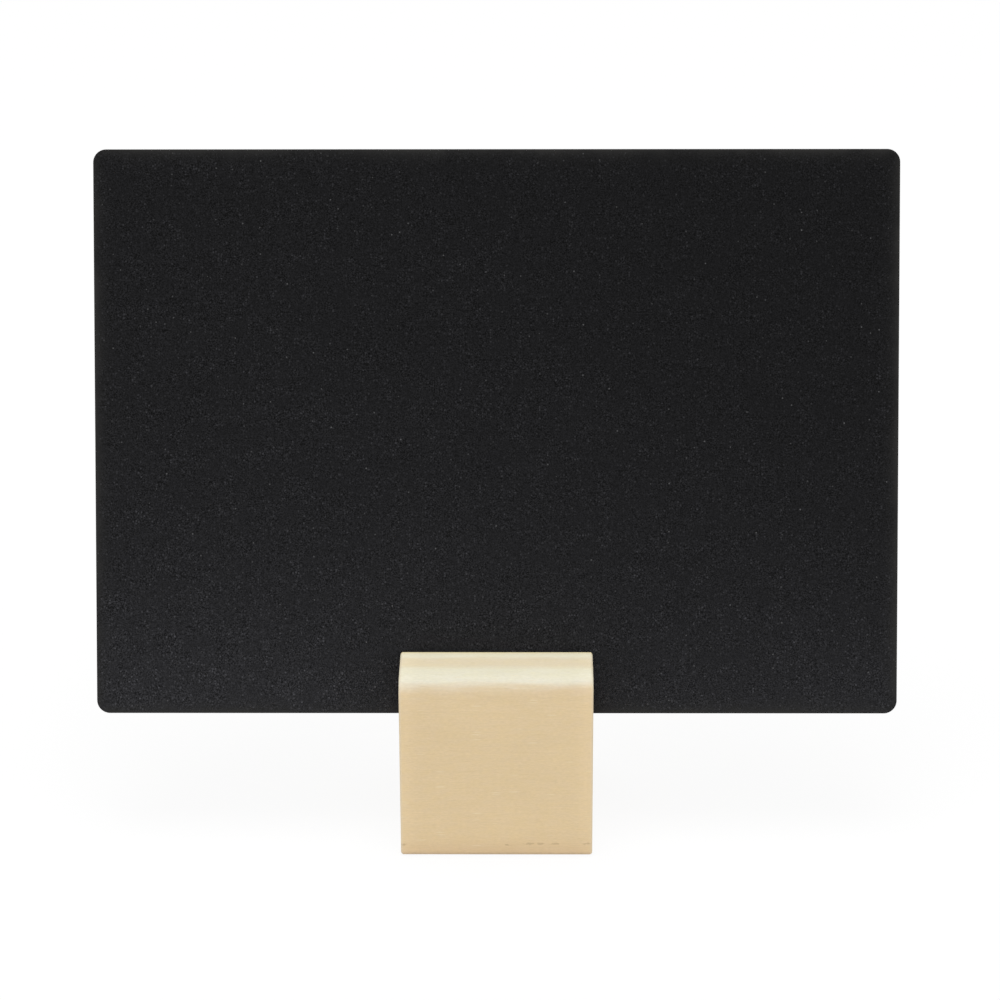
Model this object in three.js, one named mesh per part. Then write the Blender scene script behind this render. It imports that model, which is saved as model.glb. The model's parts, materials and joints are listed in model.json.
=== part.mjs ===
// Table sign holder: a slotted wooden block that carries a chalkboard sign, leaning back.
// Millimetres, +Z up, front towards -Y. The origin is the centre of the block's underside.
import * as THREE from "three";

// Block: a milled strip cut to length, its grain running along X
const BLOCK_WIDTH = 35.5; // X
const BLOCK_DEPTH = 36; // Y
const BLOCK_HEIGHT = 36; // Z
const TOP_ROUND = 3.5; // round-over along the front and rear top edges
const BASE_ROUND = 1; // softened front and rear edges of the underside
const END_EASE = 0.5; // sanded edges all round both end-grain faces

// Slot: sawn across the top from end to end, tilted so that the sign leans back
const SLOT_LEAN_DEGREES = 20; // from the vertical
const FRONT_LIP = 12.7; // from the block's front face to the slot, along the top
const SLOT_DEPTH = 11.8; // along the slot's front wall
const SLOT_CLEARANCE = 0.5; // between the sign and each wall of the slot
const SEAT_GAP = 0.3; // between the sign's lower edge and the slot's floor

// Sign: a rigid core faced on both sides with a writing sheet
const SIGN_WIDTH = 148; // X
const SIGN_HEIGHT = 104; // along the lean
const SIGN_CORNER = 2.4; // radius of the sign's four corners
const CORE_THICKNESS = 2.4;
const SHEET_THICKNESS = 0.25;
const GLUE_LINE = 0.05; // bond between the core and each sheet

// Fineness of the facets: segments on each half of a round corner, and on an eased edge
const ARC_SEGMENTS = 6;
const EASE_SEGMENTS = 3;

const SLOT_LEAN = THREE.MathUtils.degToRad(SLOT_LEAN_DEGREES);
const SIGN_THICKNESS = CORE_THICKNESS + 2 * (GLUE_LINE + SHEET_THICKNESS);
const SLOT_WIDTH = SIGN_THICKNESS + 2 * SLOT_CLEARANCE;

// Directions in the block's Y-Z section: up along the slot, and square across it to the rear
const slotUp = new THREE.Vector2(Math.sin(SLOT_LEAN), Math.cos(SLOT_LEAN));
const slotAcross = new THREE.Vector2(slotUp.y, -slotUp.x);

// Corners of the slot in that section
const frontFace = -BLOCK_DEPTH / 2;
const mouthFront = new THREE.Vector2(frontFace + FRONT_LIP, BLOCK_HEIGHT);
const floorFront = mouthFront.clone().addScaledVector(slotUp, -SLOT_DEPTH);
const floorRear = floorFront.clone().addScaledVector(slotAcross, SLOT_WIDTH);
const rearWall = (BLOCK_HEIGHT - floorRear.y) / slotUp.y;
const mouthRear = floorRear.clone().addScaledVector(slotUp, rearWall);

const corner = (x, y, radius = 0) => ({ at: new THREE.Vector2(x, y), radius });
const sharp = (point) => corner(point.x, point.y);

// Closed outline through corners listed anticlockwise. A corner with a radius is rounded
// by the arc that touches both of its edges.
function roundedOutline(corners) {
  const outline = new THREE.Shape();
  corners.forEach(({ at, radius }, index) => {
    if (radius === 0) {
      const draw = index === 0 ? "moveTo" : "lineTo";
      outline[draw](at.x, at.y);
      return;
    }
    const before = corners.at(index - 1).at;
    const after = corners[(index + 1) % corners.length].at;
    const toBefore = before.clone().sub(at).normalize();
    const toAfter = after.clone().sub(at).normalize();
    const halfAngle = Math.acos(toBefore.dot(toAfter)) / 2;
    const bisector = toBefore.clone().add(toAfter).normalize();
    const centre = at.clone().addScaledVector(bisector, radius / Math.sin(halfAngle));
    const touch = radius / Math.tan(halfAngle);
    const start = at.clone().addScaledVector(toBefore, touch).sub(centre).angle();
    const end = at.clone().addScaledVector(toAfter, touch).sub(centre).angle();
    outline.absarc(centre.x, centre.y, radius, start, end, false);
  });
  return outline;
}

// The block is its Y-Z section drawn out along the grain, with the end edges eased.
function makeBlock() {
  const section = roundedOutline([
    corner(frontFace, 0, BASE_ROUND),
    corner(-frontFace, 0, BASE_ROUND),
    corner(-frontFace, BLOCK_HEIGHT, TOP_ROUND),
    sharp(mouthRear),
    sharp(floorRear),
    sharp(floorFront),
    sharp(mouthFront),
    corner(frontFace, BLOCK_HEIGHT, TOP_ROUND),
  ]);
  const geometry = new THREE.ExtrudeGeometry(section, {
    depth: BLOCK_WIDTH - 2 * END_EASE,
    curveSegments: ARC_SEGMENTS,
    bevelThickness: END_EASE,
    bevelSize: END_EASE,
    bevelOffset: -END_EASE,
    bevelSegments: EASE_SEGMENTS,
  });
  const wood = new THREE.MeshStandardMaterial({ color: "#dcc69c", roughness: 0.6, metalness: 0 });
  const block = new THREE.Mesh(geometry, wood);
  block.name = "slotted_block";
  // The section's own axes become Y and Z, and its extrusion becomes X.
  const sectionToBlock = new THREE.Matrix4().makeBasis(
    new THREE.Vector3(0, 1, 0),
    new THREE.Vector3(0, 0, 1),
    new THREE.Vector3(1, 0, 0),
  );
  block.setRotationFromMatrix(sectionToBlock);
  block.position.x = END_EASE - BLOCK_WIDTH / 2;
  return block;
}

// One layer of the sign, standing on its lower edge. rearFace is the Y of its rear face.
function makeLayer(name, thickness, rearFace, finish) {
  const side = SIGN_WIDTH / 2;
  const outline = roundedOutline([
    corner(-side, 0, SIGN_CORNER),
    corner(side, 0, SIGN_CORNER),
    corner(side, SIGN_HEIGHT, SIGN_CORNER),
    corner(-side, SIGN_HEIGHT, SIGN_CORNER),
  ]);
  const geometry = new THREE.ExtrudeGeometry(outline, {
    depth: thickness,
    curveSegments: ARC_SEGMENTS,
    bevelEnabled: false,
  });
  const layer = new THREE.Mesh(geometry, new THREE.MeshStandardMaterial(finish));
  layer.name = name;
  layer.rotation.x = Math.PI / 2;
  layer.position.y = rearFace;
  return layer;
}

// The three bonded layers, lowered into the slot and leaning back with it.
function makeSign() {
  const coreRear = CORE_THICKNESS / 2;
  const sheetRear = SIGN_THICKNESS / 2;
  const chalkFace = { color: "#1f1f20", roughness: 0.75, metalness: 0 };
  const blackEdge = { color: "#191919", roughness: 0.85, metalness: 0 };
  const sign = new THREE.Group();
  sign.add(
    makeLayer("board_core", CORE_THICKNESS, coreRear, blackEdge),
    makeLayer("front_chalk_sheet", SHEET_THICKNESS, -coreRear - GLUE_LINE, chalkFace),
    makeLayer("rear_chalk_sheet", SHEET_THICKNESS, sheetRear, chalkFace),
  );
  const seat = floorFront.clone().lerp(floorRear, 0.5).addScaledVector(slotUp, SEAT_GAP);
  sign.position.set(0, seat.x, seat.y);
  sign.rotation.x = -SLOT_LEAN;
  return sign;
}

const signHolder = new THREE.Group();
signHolder.add(makeBlock(), makeSign());

export default signHolder;
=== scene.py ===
# Table sign holder: a slotted wooden block and the chalkboard sign that stands in it.
# Metres, +Z up, front towards -Y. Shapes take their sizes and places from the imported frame.
# Materials are laid out in millimetres, with colours as linear RGBA.
import json
import math

import bpy
from mathutils import Matrix, Vector, noise


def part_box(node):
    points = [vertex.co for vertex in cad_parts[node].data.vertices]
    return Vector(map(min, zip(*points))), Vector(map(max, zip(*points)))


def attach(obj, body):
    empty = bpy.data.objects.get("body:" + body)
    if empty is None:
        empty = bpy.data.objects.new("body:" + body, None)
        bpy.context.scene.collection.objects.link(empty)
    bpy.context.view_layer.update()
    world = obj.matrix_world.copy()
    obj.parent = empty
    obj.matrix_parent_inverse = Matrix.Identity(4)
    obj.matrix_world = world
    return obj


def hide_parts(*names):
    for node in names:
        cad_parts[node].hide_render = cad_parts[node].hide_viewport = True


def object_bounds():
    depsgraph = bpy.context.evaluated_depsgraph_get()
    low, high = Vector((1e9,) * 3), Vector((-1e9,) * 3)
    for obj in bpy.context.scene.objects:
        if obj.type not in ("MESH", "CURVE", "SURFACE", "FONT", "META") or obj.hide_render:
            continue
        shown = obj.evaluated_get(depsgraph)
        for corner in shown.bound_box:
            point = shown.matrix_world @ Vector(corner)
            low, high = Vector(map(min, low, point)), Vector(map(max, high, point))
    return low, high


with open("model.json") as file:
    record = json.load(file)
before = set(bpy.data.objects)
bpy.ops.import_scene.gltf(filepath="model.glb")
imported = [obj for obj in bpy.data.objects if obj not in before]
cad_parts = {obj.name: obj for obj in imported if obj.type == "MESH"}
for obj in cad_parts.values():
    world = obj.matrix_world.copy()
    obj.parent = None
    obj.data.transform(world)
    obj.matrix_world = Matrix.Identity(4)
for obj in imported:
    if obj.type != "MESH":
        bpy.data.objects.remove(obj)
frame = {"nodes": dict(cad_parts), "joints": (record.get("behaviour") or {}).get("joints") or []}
cad_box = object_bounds()

MM = 0.001

# Roundings and clearances
TOP_ROUND = 3.5 * MM  # long top edges of the block
BASE_ROUND = 1.0 * MM  # long edges of its underside
END_EASE = 0.5 * MM  # sanded edges all round both of its ends
MOUTH_EASE = 0.15 * MM  # upper edges of the slot
FLOOR_ROUND = 0.15 * MM  # corners between the slot's walls and its floor
LEAST_ROUND = 0.05 * MM  # what is left of the mouth's ease at the ends
SLOT_CLEARANCE = 0.5 * MM  # between the sign and each wall of the slot
SEAT_GAP = 0.3 * MM  # between the sign's lower edge and the slot's floor
SIGN_CORNER = 2.4 * MM  # corners of the sign's outline
SHEET_EASE = 0.12 * MM  # outer edges of both writing sheets

# Fineness of the meshes
BLOCK_GRID = 0.6 * MM  # length of a facet on the block
ARC_STEPS = 14  # facets round a corner of an outline
EASE_STEPS = 5  # facets across an eased edge

# Raised fibres of the wood: how deep the surface dips between them, and their size along and across X
FIBRE_RELIEF = 0.02 * MM
FIBRE_LENGTH = 14 * MM
FIBRE_WIDTH = 1.3 * MM

# Camera, fitted to the edges of the photographed object, with its lens and sensor in millimetres
CAMERA_AT = Vector((6.10, -596.39, 324.87)) * MM
CAMERA_PITCH = math.radians(23.602)
CAMERA_YAW = math.radians(0.519)
CAMERA_ROLL = math.radians(-0.199)
CAMERA_LENS = 128.07
CAMERA_SENSOR = 36.0

# Studio: the light from all round, and a white floor, with how much of its seen white is its own
ROOM_LIGHT = 0.83
WHITE = (1, 1, 1, 1)
FLOOR_WHITE = (0.9, 0.9, 0.9, 1)
FLOOR_OWN_WHITE = 0.91
FLOOR_REACH = 4.0

# Directions of the sign: up along the slot, as its joint slides, square across to the rear, and aside
SIGN_UP = Vector(frame["joints"][0]["axis"]).normalized()
SIGN_ACROSS = Vector((0, SIGN_UP.z, -SIGN_UP.y))
SIGN_SIDE = Vector((1, 0, 0))


def span(node, direction):
    """Lowest and highest reach of a node's solid along a direction."""
    reach = [direction.dot(vertex.co) for vertex in frame["nodes"][node].data.vertices]
    return min(reach), max(reach)


block_low, block_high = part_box("slotted_block")
sign_left, sign_right = span("board_core", SIGN_SIDE)
sign_bottom, sign_top = span("board_core", SIGN_UP)
sign_front = span("front_chalk_sheet", SIGN_ACROSS)[0]
sign_rear = span("rear_chalk_sheet", SIGN_ACROSS)[1]

# The slot's floor along SIGN_UP, and its walls along SIGN_ACROSS
slot_floor = sign_bottom - SEAT_GAP
slot_front = sign_front - SLOT_CLEARANCE
slot_rear = sign_rear + SLOT_CLEARANCE


# Outlines and lofted meshes


def rounded_corner(before, at, after, radius):
    """Points of the arc that rounds one corner of an outline, from its first edge to its second."""
    to_before = (before - at).normalized()
    to_after = (after - at).normalized()
    half = to_before.angle(to_after) / 2
    centre = at + (to_before + to_after).normalized() * (radius / math.sin(half))
    spoke = at + to_before * (radius / math.tan(half)) - centre
    turn = math.pi - 2 * half
    if to_before.cross(to_after) > 0:
        turn = -turn
    steps = [turn * step / ARC_STEPS for step in range(ARC_STEPS + 1)]
    return [centre + Matrix.Rotation(angle, 2) @ spoke for angle in steps]


def rounded_outline(corners, counts=None):
    """Closed outline through (point, radius) corners. counts gives the parts of each straight stretch."""
    points = []
    size = len(corners)
    arcs = [
        rounded_corner(corners[i - 1][0], at, corners[(i + 1) % size][0], radius)
        for i, (at, radius) in enumerate(corners)
    ]
    for i, arc in enumerate(arcs):
        points += arc
        following = arcs[(i + 1) % size][0]
        parts = counts[i] if counts else 1
        points += [arc[-1].lerp(following, part / parts) for part in range(1, parts)]
    return points


def quarter_round(radius):
    """(inset, depth) pairs of an eased edge, from the flat face to the full outline, or one if sharp."""
    if not radius:
        return [(0.0, 0.0)]
    angles = [math.pi / 2 * step / EASE_STEPS for step in range(EASE_STEPS + 1)]
    return [(radius * (1 - math.sin(a)), radius * (1 - math.cos(a))) for a in angles]


def loft(name, rings):
    """Closed mesh through equal rings of points, with a flat face on the first and the last ring."""
    size = len(rings[0])
    points = [point for ring in rings for point in ring]
    faces = [list(range(size))[::-1]]
    for start in range(0, size * (len(rings) - 1), size):
        for i in range(size):
            j = (i + 1) % size
            faces.append([start + i, start + j, start + size + j, start + size + i])
    faces.append(list(range(len(points) - size, len(points))))
    mesh = bpy.data.meshes.new(name)
    mesh.from_pydata(points, [], faces)
    mesh.polygons.foreach_set("use_smooth", [0 < i < len(faces) - 1 for i in range(len(faces))])
    mesh.validate()
    piece = bpy.data.objects.new(name, mesh)
    bpy.context.scene.collection.objects.link(piece)
    return piece


# The wooden block


def block_corners(inset):
    """Corners and radii of the block's Y-Z section, drawn into the wood by inset."""
    up = SIGN_UP.yz
    across = SIGN_ACROSS.yz
    front, bottom = block_low.y + inset, block_low.z + inset
    rear, top = block_high.y - inset, block_high.z - inset
    floor = slot_floor - inset
    walls = slot_front - inset, slot_rear + inset
    mouth = [across * wall + up * ((top - across.y * wall) / up.y) for wall in walls]
    seat = [across * wall + up * floor for wall in walls]
    mouth_ease = max(MOUTH_EASE - inset, LEAST_ROUND)
    return [
        (Vector((front, bottom)), BASE_ROUND - inset),
        (Vector((rear, bottom)), BASE_ROUND - inset),
        (Vector((rear, top)), TOP_ROUND - inset),
        (mouth[1], mouth_ease),
        (seat[1], FLOOR_ROUND + inset),
        (seat[0], FLOOR_ROUND + inset),
        (mouth[0], mouth_ease),
        (Vector((front, top)), TOP_ROUND - inset),
    ]


def fibre_dip(point):
    """How far the surface sinks between the raised fibres, which run along X."""
    place = Vector((point.x / FIBRE_LENGTH, point.y / FIBRE_WIDTH, point.z / FIBRE_WIDTH))
    return FIBRE_RELIEF * (0.5 + 0.5 * noise.noise(place))


def make_block():
    """The section drawn out along X, with both ends eased and the surface dipping between the fibres."""
    corners = block_corners(0)
    size = len(corners)
    gaps = [(corners[(i + 1) % size][0] - corners[i][0]).length for i in range(size)]
    counts = [max(1, round(gap / BLOCK_GRID)) for gap in gaps]
    ease = quarter_round(END_EASE)
    inner = block_high.x - block_low.x - 2 * END_EASE
    parts = round(inner / BLOCK_GRID)
    stations = [(block_low.x + depth, inset) for inset, depth in ease]
    stations += [(block_low.x + END_EASE + inner * part / parts, 0) for part in range(1, parts)]
    stations += [(block_high.x - depth, inset) for inset, depth in reversed(ease)]
    rings = []
    for x, inset in stations:
        outline = rounded_outline(block_corners(inset), counts)
        rings.append([Vector((x, point.x, point.y)) for point in outline])
    block = loft("wooden_block", rings)
    mesh = block.data
    normals = [normal.vector.copy() for normal in mesh.vertex_normals]
    for vertex, normal in zip(mesh.vertices, normals):
        vertex.co -= normal * fibre_dip(vertex.co)
    return block


# The sign's three layers


def sign_ring(across, inset):
    """The sign's outline in the plane at that distance across the slot, drawn in by inset."""
    left, right = sign_left + inset, sign_right - inset
    bottom, top = sign_bottom + inset, sign_top - inset
    radius = SIGN_CORNER - inset
    ends = [(right, bottom), (left, bottom), (left, top), (right, top)]
    outline = rounded_outline([(Vector(end), radius) for end in ends])
    return [SIGN_SIDE * p.x + SIGN_UP * p.y + SIGN_ACROSS * across for p in outline]


def make_layer(name, node, front_ease=0.0, rear_ease=0.0):
    """One layer of the sign in a node's place, with the edges of its front and rear face eased."""
    front, rear = span(node, SIGN_ACROSS)
    stations = [(front + depth, inset) for inset, depth in quarter_round(front_ease)]
    stations += [(rear - depth, inset) for inset, depth in reversed(quarter_round(rear_ease))]
    return loft(name, [sign_ring(across, inset) for across, inset in stations])


# Materials


class Graph:
    """The nodes of a material or a world. A value is a number, a tuple or the output of another node."""

    def __init__(self, owner):
        owner.use_nodes = True
        self.owner = owner
        self.tree = owner.node_tree
        self.tree.nodes.clear()

    def feed(self, socket, value):
        """Link a socket to the output of another node, or set it to a plain value."""
        if isinstance(value, bpy.types.NodeSocket):
            self.tree.links.new(value, socket)
        else:
            socket.default_value = value

    def node(self, kind, inputs, **settings):
        """A new node with these settings, and with a value on each input that is named or numbered."""
        made = self.tree.nodes.new(kind)
        for name, value in settings.items():
            setattr(made, name, value)
        for name, value in inputs.items():
            self.feed(made.inputs[name], value)
        return made

    def math(self, operation, *values):
        made = self.node("ShaderNodeMath", dict(enumerate(values)), operation=operation)
        return made.outputs[0]

    def vector(self, operation, *values):
        inputs = dict(enumerate(values))
        made = self.node("ShaderNodeVectorMath", inputs, operation=operation)
        return made.outputs["Value" if operation in ("DOT_PRODUCT", "LENGTH") else "Vector"]

    def axes(self, vector):
        """The X, Y and Z of a vector."""
        return self.node("ShaderNodeSeparateXYZ", {0: vector}).outputs

    def place(self):
        """Place on the piece in millimetres, and the direction its surface faces."""
        made = self.node("ShaderNodeTexCoord", {})
        return self.vector("MULTIPLY", made.outputs["Object"], (1 / MM,) * 3), made.outputs["Normal"]

    def fade(self, value, start, end, low=0.0, high=1.0):
        """Smooth change from low, where value is start, to high, where it is end."""
        inputs = {"Value": value, "From Min": start, "From Max": end, "To Min": low, "To Max": high}
        return self.node("ShaderNodeMapRange", inputs, interpolation_type="SMOOTHSTEP").outputs[0]

    def decay(self, distance, reach):
        """1 at no distance, and e times less with each reach."""
        return self.math("EXPONENT", self.math("MULTIPLY", distance, -1 / reach))

    def grain(self, at, size, detail=2.0, seed=0.0):
        """Noise of 0 to 1 in blobs that measure size millimetres along X, Y and Z."""
        place = self.vector("MULTIPLY_ADD", at, [1 / side for side in size], (seed,) * 3)
        inputs = {"Vector": place, "Scale": 1.0, "Detail": detail, "Roughness": 0.55}
        return self.node("ShaderNodeTexNoise", inputs).outputs[0]

    def stray(self, value, chance, swing):
        """The value moved up or down by as much as half the swing, by a noise of 0 to 1."""
        return self.math("MULTIPLY_ADD", self.math("SUBTRACT", chance, 0.5), swing, value)

    def about_one(self, chance, swing):
        """A factor of 1, give or take half the swing, by a noise of 0 to 1."""
        return self.math("MULTIPLY_ADD", chance, swing, 1 - swing / 2)

    def specks(self, at, size, inner, outer, seed=0.0):
        """Scattered soft specks, one to a cell of that size, and a number of 0 to 1 for each cell.

        A speck is full up to inner and gone at outer, in shares of the cell's size."""
        place = self.vector("MULTIPLY_ADD", at, [1 / side for side in size], (seed,) * 3)
        made = self.node("ShaderNodeTexVoronoi", {"Vector": place, "Scale": 1.0})
        lot = self.axes(made.outputs["Color"])[0]
        return self.fade(made.outputs["Distance"], inner, outer, low=1.0, high=0.0), lot

    def rare_specks(self, at, size, inner, outer, share, seed=0.0):
        """Specks as above, in that share of the cells."""
        speck, lot = self.specks(at, size, inner, outer, seed)
        return self.math("MULTIPLY", speck, self.math("GREATER_THAN", lot, 1 - share))

    def uneven_specks(self, at, size, inner, outer, seed=0.0):
        """Specks as above, most of them faint and a few strong."""
        speck, lot = self.specks(at, size, inner, outer, seed)
        return self.math("MULTIPLY", speck, self.math("POWER", lot, 3.0))

    def mix(self, factor, below, above, mode="MIX"):
        """Two colours mixed by a factor of 0 to 1, in one of the blend modes."""
        made = self.node("ShaderNodeMix", {}, data_type="RGBA", blend_type=mode)
        for index, value in ((0, factor), (6, below), (7, above)):
            self.feed(made.inputs[index], value)
        return made.outputs[2]

    def paint(self, colour, over, mask, strength=1.0):
        """The colour with another one laid over it, at that strength where the mask is 1."""
        return self.mix(self.math("MULTIPLY", mask, strength), colour, over)

    def tint(self, colour, by, mask=1.0):
        """The colour multiplied by another colour or a number, in full where the mask is 1."""
        return self.mix(mask, colour, by, "MULTIPLY")

    def bump(self, relief, depth):
        """Shading normal of a relief in which 1 is that many metres."""
        return self.node("ShaderNodeBump", {"Height": relief, "Distance": depth}).outputs[0]

    def background_ray(self):
        """1 on the rays that show the background: to the camera, off a gloss or through glass."""
        path = self.node("ShaderNodeLightPath", {}).outputs
        seen = self.math("MAXIMUM", path["Is Camera Ray"], path["Is Glossy Ray"])
        return self.math("MAXIMUM", seen, path["Is Transmission Ray"])

    def principled(self, **inputs):
        """The finished material, from the shader's inputs by name, with _ for each space."""
        inputs = {name.replace("_", " "): value for name, value in inputs.items()}
        shader = self.node("ShaderNodeBsdfPrincipled", inputs)
        self.node("ShaderNodeOutputMaterial", {"Surface": shader.outputs[0]})
        return self.owner


# Wood

PALE_BAND = (0.768, 0.728, 0.573, 1)
TAN_BAND = (0.699, 0.545, 0.340, 1)
YELLOW_TINT = (1.0, 0.995, 0.95, 1)
PORE = (0.50, 0.34, 0.18, 1)
RAY = (0.80, 0.69, 0.49, 1)
FOOT = (0.62, 0.44, 0.27, 1)
FLECK = (0.36, 0.25, 0.14, 1)
# Painted shade laid on the round-overs
ROUNDOVER_SHADE = (0.885, 0.89, 0.935, 1)
SANDED_EDGE = (0.70, 0.61, 0.46, 1)
END_GRAIN = (0.50, 0.355, 0.195, 1)
CUT_PORE = (0.33, 0.21, 0.10, 1)
SAWN_DARK = (0.42, 0.31, 0.18, 1)
SAWN_PALE = (0.62, 0.48, 0.30, 1)
# Darkening laid on the slot's walls and beside its mouth
MOUTH_DARKENING = (0.85, 0.77, 0.58, 1)


def growth_rings(g, at):
    """Colour of the broad growth bands about a distant pith, and the fine rings among them, 0 to 1.

    The wood is tan at the front, pale behind the first boundary, and tan again towards the rear."""
    pith_distance, pith_height = 300.0, 30.0
    ring_width, ring_at_front = 9.0, 1.6
    tan_until, pale_from, tan_again = 1.6, 3.6, ring_width - 2.4
    fine_width, fine_wander = 1.7, 2.6
    fine_foot, fine_crest = 0.3, 1.4

    # Depth into the wood, with boundaries that wander and break up
    pith = (0.0, block_low.y / MM + pith_distance, pith_height)
    section = g.vector("MULTIPLY", g.vector("SUBTRACT", at, pith), (0, 1, 1))
    depth = g.math("SUBTRACT", pith_distance + ring_at_front, g.vector("LENGTH", section))
    depth = g.stray(depth, g.grain(at, size=(22, 6, 6), detail=3.0, seed=3.1), swing=0.7)
    uneven = g.grain(at, size=(90, 4, 40), seed=23.0)
    fine_depth = g.math("MULTIPLY_ADD", uneven, fine_wander, depth)
    depth = g.stray(depth, g.grain(at, size=(10, 0.9, 0.9), seed=17.0), swing=1.2)

    # Broad bands: past the first they are half as tan, and the rear of the block is tan all through
    inward = g.math("FLOORED_MODULO", depth, ring_width)
    leaving = g.fade(inward, tan_until, pale_from, low=1.0, high=0.0)
    tan = g.math("ADD", leaving, g.fade(inward, tan_again, ring_width))
    tan = g.math("MULTIPLY", tan, g.fade(depth, start=4.0, end=8.0, low=1.0, high=0.5))
    tan = g.math("MAXIMUM", tan, g.fade(depth, start=18.0, end=34.0, low=0.0, high=0.8))

    fine = g.math("FLOORED_MODULO", fine_depth, fine_width)
    rise = g.fade(fine, fine_foot, fine_crest)
    fine_ring = g.math("SUBTRACT", rise, g.fade(fine, fine_crest, fine_width))
    return g.mix(tan, PALE_BAND, TAN_BAND), fine_ring


def wood_fibres(g, at):
    """Brightness of the wood about 1, the relief of its fibres, and the broad streaks along them."""
    fibre = g.grain(at, size=(5, 0.2, 0.2), detail=3.0, seed=7.7)
    short = g.grain(at, size=(0.8, 0.24, 0.24), seed=27.0)
    streak = g.grain(at, size=(26, 0.9, 0.9), seed=1.3)
    blotch = g.grain(at, size=(11, 5, 5), detail=3.0, seed=21.0)
    tone = g.about_one(fibre, swing=0.1)
    for pattern, swing in ((short, 0.2), (streak, 0.03), (blotch, 0.08)):
        tone = g.math("MULTIPLY", tone, g.about_one(pattern, swing))
    return tone, g.math("ADD", fibre, short), streak


def flecks(g, at):
    """1 on the few short dark flecks along the foot of the front face."""
    upper, lower, half_thickness = 2.65, 2.45, 0.22

    # Middle along X, height above the base, and length of each
    marks = [
        (-17.2, lower, 1.2),
        (2.0, lower, 0.8),
        (6.1, upper, 1.9),
        (8.1, upper, 1.8),
        (10.9, upper, 1.7),
        (16.8, upper, 1.6),
    ]
    broken = g.grain(at, size=(0.6, 40, 0.3), detail=3.0, seed=11.0)
    found = 0.0
    for middle, height, length in marks:
        stretch = (2 / length, 0, 1 / half_thickness)
        offset = g.vector("SUBTRACT", at, (middle, 0, height))
        away = g.vector("LENGTH", g.vector("MULTIPLY", offset, stretch))
        away = g.stray(away, broken, swing=2.4)
        found = g.math("MAXIMUM", g.fade(away, start=0.4, end=1.2, low=1.0, high=0.0), found)
    front = block_low.y / MM
    return g.math("MULTIPLY", found, g.fade(g.axes(at)[1], start=0.0, end=front / 2))


def end_grain(g, at, colour, to_side, fine_ring):
    """The colour with darker, ringed end faces and the pores cut across there, and those pores."""
    end = g.fade(to_side, start=0.95, end=0.999)
    ring_share, least_share = 0.2, 0.33
    darker = g.math("MULTIPLY_ADD", fine_ring, ring_share, least_share)
    colour = g.paint(colour, END_GRAIN, end, darker)
    hole, lot = g.specks(at, size=(4.0, 0.28, 0.28), inner=0.2, outer=0.42, seed=8.0)
    hole = g.math("MULTIPLY", g.math("MULTIPLY", hole, lot), end)
    return g.paint(colour, CUT_PORE, hole, strength=0.5), hole


def sawn_slot(g, at):
    """1 on the walls and the floor of the slot, and how much darker the wood is made beside its mouth and
    on its walls.
    """
    floor = slot_floor / MM
    above = g.fade(g.vector("DOT_PRODUCT", at, SIGN_UP), start=floor - 0.6, end=floor - 0.1)
    across = g.vector("DOT_PRODUCT", at, SIGN_ACROSS)
    past_front = g.math("SUBTRACT", slot_front / MM, across)
    past_rear = g.math("SUBTRACT", across, slot_rear / MM)
    outside = g.math("MAXIMUM", past_front, past_rear)
    inside = g.math("MULTIPLY", above, g.fade(outside, start=0.3, end=0.05))
    edge_strength = 1.6
    tinted_zone = g.math("MULTIPLY", edge_strength, g.decay(outside, reach=0.5))
    tinted_zone = g.math("MULTIPLY", above, g.math("MINIMUM", tinted_zone, 1.0))
    return inside, tinted_zone


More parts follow.
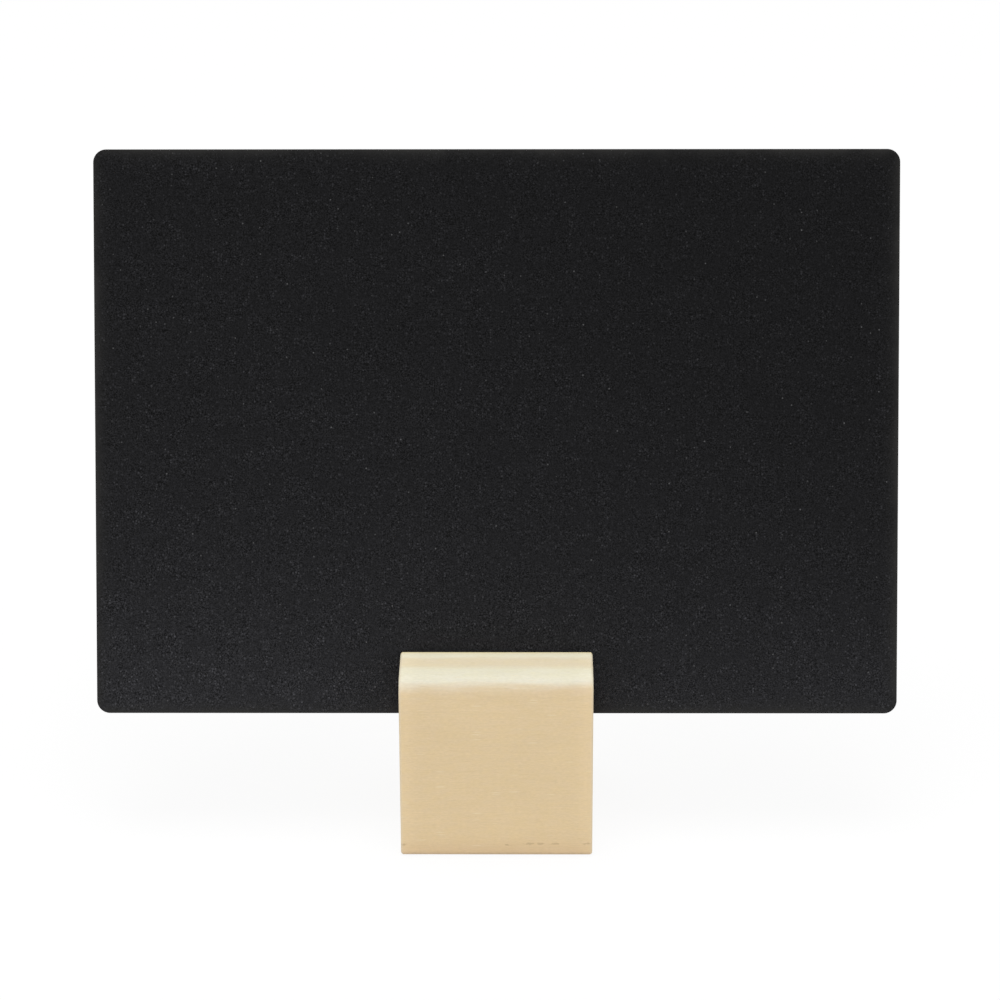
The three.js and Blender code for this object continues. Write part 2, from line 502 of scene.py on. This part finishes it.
def wood_material():
    """Pale close-grained wood, sanded and unfinished, with the fibres along X."""
    g = Graph(bpy.data.materials.new("pale_wood"))
    at, facing = g.place()
    x, _, z = g.axes(at)
    to_side, to_rear, to_top = g.axes(facing)
    to_side = g.math("ABSOLUTE", to_side)
    half_width = block_high.x / MM

    # Growth bands and fibres, with painted light that makes the last millimetres at both ends paler,
    # standing in for light scattered through the wood, and yellower in patches
    tone, fibre_relief, streak = wood_fibres(g, at)
    painted_end_glow = g.fade(g.math("ABSOLUTE", x), half_width - 4.0, half_width - 0.5, low=1.0, high=1.05)
    tone = g.math("MULTIPLY", tone, painted_end_glow)
    bands, fine_ring = growth_rings(g, at)
    colour = g.tint(bands, tone)
    yellow = g.fade(g.grain(at, size=(2.6, 1.3, 1.3), seed=31.0), start=0.3, end=0.7)
    colour = g.tint(colour, YELLOW_TINT, yellow)

    # Short dark pores and pale rays along the fibres, and a browner foot with dark flecks
    pore = g.rare_specks(at, size=(2.6, 0.3, 0.3), inner=0.16, outer=0.4, share=0.07, seed=5.0)
    colour = g.paint(colour, PORE, pore, strength=0.13)
    ray = g.rare_specks(at, size=(3.4, 0.34, 0.34), inner=0.12, outer=0.38, share=0.08, seed=12.0)
    colour = g.paint(colour, RAY, ray, strength=0.5)
    colour = g.paint(colour, FOOT, g.fade(z, start=4.5, end=1.0), strength=0.3)
    colour = g.paint(colour, FLECK, flecks(g, at), strength=0.42)

    # Painted shade on the round-overs, darkest halfway round, set by the direction each part faces; the
    # slot's walls get some too
    roundover_shade_mask = g.math("MULTIPLY", g.math("MULTIPLY", to_rear, to_top), 2.0)
    colour = g.tint(colour, ROUNDOVER_SHADE, g.math("ABSOLUTE", roundover_shade_mask))

    # Both ends: their paler sanded edges, and the end grain
    colour = g.paint(colour, SANDED_EDGE, g.fade(to_side, start=0.04, end=0.5), strength=0.4)
    colour, hole = end_grain(g, at, colour, to_side, fine_ring)

    # Slot: browner from the saw, with its fine marks, and darker beside its mouth and on its walls
    inside, tinted_zone = sawn_slot(g, at)
    saw = g.grain(at, size=(0.35, 25, 25), detail=3.0, seed=14.0)
    colour = g.tint(colour, MOUTH_DARKENING, tinted_zone)
    colour = g.paint(colour, g.mix(saw, SAWN_DARK, SAWN_PALE), inside, strength=0.6)

    pore_height, saw_height = -0.7, 1.5
    relief = g.math("MULTIPLY_ADD", g.math("ADD", pore, hole), pore_height, fibre_relief)
    relief = g.math("MULTIPLY_ADD", g.math("MULTIPLY", inside, saw), saw_height, relief)
    least_rough, rough_swing = 0.68, 0.14
    return g.principled(
        Base_Color=colour,
        Roughness=g.math("MULTIPLY_ADD", streak, rough_swing, least_rough),
        Specular_IOR_Level=0.3,
        Normal=g.bump(relief, 0.03 * MM),
    )


# Writing sheets and core of the sign

CHALK_BLACK = (0.0059, 0.0059, 0.0065, 1)
CHALK_DUST = (0.09, 0.09, 0.092, 1)
RIM_GLOW_AND_WEAR = (0.022, 0.0215, 0.0205, 1)
BLACK_STAIN = (0.009, 0.0085, 0.008, 1)
RUBBED_STAIN = (0.032, 0.026, 0.02, 1)


def sign_rim(g, at):
    """1 along the outline of the sign, dying away over the next few millimetres."""
    height = g.vector("DOT_PRODUCT", at, SIGN_UP)
    half_width = sign_right / MM
    gap = g.math("SUBTRACT", half_width, g.math("ABSOLUTE", g.axes(at)[0]))
    gap = g.math("MINIMUM", gap, g.math("SUBTRACT", height, sign_bottom / MM))
    gap = g.math("MINIMUM", gap, g.math("SUBTRACT", sign_top / MM, height))
    return g.decay(gap, reach=0.9)


def chalk_material():
    """Matte black writing sheet: a fine tooth with grit in it, wiping marks, painted light that pales it
    towards the left and towards the lower edge, and a rim paled partly by painted light and partly by
    wear.
    """
    g = Graph(bpy.data.materials.new("chalk_face"))
    at, _ = g.place()

    # The tooth and the pale grit in it, stronger in some patches than in others
    tooth = g.fade(g.grain(at, size=(0.24, 0.24, 0.24), detail=3.0), start=0.32, end=0.68)
    grit = g.uneven_specks(at, size=(0.5, 0.5, 0.5), inner=0.15, outer=0.5, seed=6.0)
    patch = g.fade(g.grain(at, size=(3, 3, 3), seed=9.0), start=0.3, end=0.7, low=0.6, high=1.5)
    grit_shade, middle_shade, least_shade = 2.2, 0.9, 0.1
    texture = g.stray(g.math("MULTIPLY", grit, grit_shade), tooth, swing=1.5)
    shade = g.math("MULTIPLY_ADD", texture, patch, middle_shade)
    shade = g.math("MAXIMUM", shade, least_shade)

    # Wiping marks, then painted light: the face paler towards the left, and paler towards the lower edge
    # as if lit from the floor
    wiped = g.grain(at, size=(40, 18, 18), detail=3.0, seed=2.0)
    shade = g.math("MULTIPLY", shade, g.about_one(wiped, swing=0.3))
    painted_left_light = g.fade(g.axes(at)[0], sign_left / MM, sign_right / MM, low=1.15, high=0.85)
    shade = g.math("MULTIPLY", shade, painted_left_light)
    height = g.math("SUBTRACT", g.vector("DOT_PRODUCT", at, SIGN_UP), sign_bottom / MM)
    painted_lower_light = g.decay(height, reach=34)
    lower_light_on_tooth, lower_light_even = 1.6, 0.5
    shade = g.math("MULTIPLY", shade, g.math("MULTIPLY_ADD", painted_lower_light, lower_light_on_tooth, 1.0))
    shade = g.math("MULTIPLY_ADD", painted_lower_light, lower_light_even, shade)
    colour = g.tint(CHALK_BLACK, shade)

    # Single specks of chalk, and a paler rim along the outline: partly painted light, a glow at the
    # edges, and partly wear
    speck = g.uneven_specks(at, size=(1.6, 1.6, 1.6), inner=0.05, outer=0.115, seed=4.0)
    colour = g.paint(colour, CHALK_DUST, speck)
    edge_strength = g.fade(g.grain(at, size=(6, 6, 6), seed=1.0), start=0.3, end=0.7, low=0.6, high=1.4)
    colour = g.paint(colour, RIM_GLOW_AND_WEAR, sign_rim(g, at), edge_strength)

    least_rough, rough_swing = 0.6, 0.1
    return g.principled(
        Base_Color=colour,
        Roughness=g.math("MULTIPLY_ADD", wiped, rough_swing, least_rough),
        Specular_IOR_Level=0.075,
        Normal=g.bump(tooth, 0.02 * MM),
    )


def edge_material():
    """Black-stained fibreboard, open and dull at its cut edges."""
    g = Graph(bpy.data.materials.new("stained_edge"))
    at, _ = g.place()
    felt = g.grain(at, size=(0.5, 0.12, 0.12), detail=4.0, seed=9.0)
    colour = g.tint(BLACK_STAIN, g.about_one(felt, swing=1.2))
    tinted_zone = g.fade(g.grain(at, size=(7, 3, 3), seed=5.0), start=0.5, end=0.75)
    colour = g.paint(colour, RUBBED_STAIN, tinted_zone, strength=0.3)
    least_rough, rough_swing = 0.72, 0.15
    return g.principled(
        Base_Color=colour,
        Roughness=g.math("MULTIPLY_ADD", felt, rough_swing, least_rough),
        Specular_IOR_Level=0.25,
        Normal=g.bump(felt, 0.08 * MM),
    )


# Studio


def make_camera():
    """The camera that took the photograph: where it stood, how it was turned, and its lens."""
    data = bpy.data.cameras.new("camera")
    data.lens = CAMERA_LENS
    data.sensor_width = CAMERA_SENSOR
    camera = bpy.data.objects.new("camera", data)
    bpy.context.scene.collection.objects.link(camera)
    turn = Matrix.Rotation(CAMERA_YAW, 4, "Z")
    tilt = Matrix.Rotation(math.pi / 2 - CAMERA_PITCH, 4, "X")
    roll = Matrix.Rotation(CAMERA_ROLL, 4, "Z")
    camera.matrix_world = Matrix.Translation(CAMERA_AT) @ turn @ tilt @ roll
    bpy.context.scene.camera = camera


def make_softbox(name, azimuth, elevation, distance, width, height, power):
    """Area light aimed at the object, from that many degrees round from the front and up."""
    data = bpy.data.lights.new(name, "AREA")
    data.shape = "RECTANGLE"
    data.size = width
    data.size_y = height
    data.energy = power
    lamp = bpy.data.objects.new(name, data)
    bpy.context.scene.collection.objects.link(lamp)
    around, rise = math.radians(azimuth), math.radians(elevation)
    level = math.cos(rise)
    away = Vector((math.sin(around) * level, -math.cos(around) * level, math.sin(rise)))
    lamp.location = (cad_box[0] + cad_box[1]) / 2 + away * distance
    lamp.rotation_mode = "QUATERNION"
    lamp.rotation_quaternion = away.to_track_quat("Z", "Y")


def floor_material():
    """White table top. Where it is seen it is nearly white, with the object's shadow still on it."""
    g = Graph(bpy.data.materials.new("white_floor"))
    lit = g.node("ShaderNodeBsdfDiffuse", {"Color": FLOOR_WHITE}).outputs[0]
    own = g.node("ShaderNodeEmission", {"Color": WHITE, "Strength": 1.0}).outputs[0]
    seen = g.node("ShaderNodeMixShader", {0: FLOOR_OWN_WHITE, 1: lit, 2: own}).outputs[0]
    whole = g.node("ShaderNodeMixShader", {0: g.background_ray(), 1: lit, 2: seen})
    g.node("ShaderNodeOutputMaterial", {"Surface": whole.outputs[0]})
    return g.owner


def make_floor():
    """The table top, level with the underside of the block."""
    mesh = bpy.data.meshes.new("floor")
    low, high = -FLOOR_REACH, FLOOR_REACH
    ends = [(low, low), (high, low), (high, high), (low, high)]
    mesh.from_pydata([(x, y, block_low.z) for x, y in ends], [], [[0, 1, 2, 3]])
    floor = bpy.data.objects.new("floor", mesh)
    bpy.context.scene.collection.objects.link(floor)
    mesh.materials.append(floor_material())


def make_world():
    """Even light from all round, and a white backdrop where the world itself is seen."""
    g = Graph(bpy.data.worlds.new("studio"))
    bpy.context.scene.world = g.owner
    room = g.node("ShaderNodeBackground", {"Color": WHITE, "Strength": ROOM_LIGHT}).outputs[0]
    backdrop = g.node("ShaderNodeBackground", {"Color": WHITE, "Strength": 1.0}).outputs[0]
    whole = g.node("ShaderNodeMixShader", {0: g.background_ray(), 1: room, 2: backdrop})
    g.node("ShaderNodeOutputWorld", {"Surface": whole.outputs[0]})


make_camera()
make_softbox("key_softbox", azimuth=-18, elevation=84, distance=1.2, width=0.7, height=0.7, power=7.6)
make_world()
make_floor()


# The pieces


def dress(piece, body, node, material):
    """Give a piece its finish and its body, and hide the solid that it stands for."""
    piece.data.materials.append(material)
    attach(piece, body)
    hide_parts(node)


chalk = chalk_material()
dress(make_block(), "holder", "slotted_block", wood_material())
dress(make_layer("sign_core", "board_core"), "sign", "board_core", edge_material())
front = make_layer("front_face", "front_chalk_sheet", front_ease=SHEET_EASE)
dress(front, "sign", "front_chalk_sheet", chalk)
rear = make_layer("rear_face", "rear_chalk_sheet", rear_ease=SHEET_EASE)
dress(rear, "sign", "rear_chalk_sheet", chalk)

bpy.context.scene.view_settings.view_transform = "Standard"
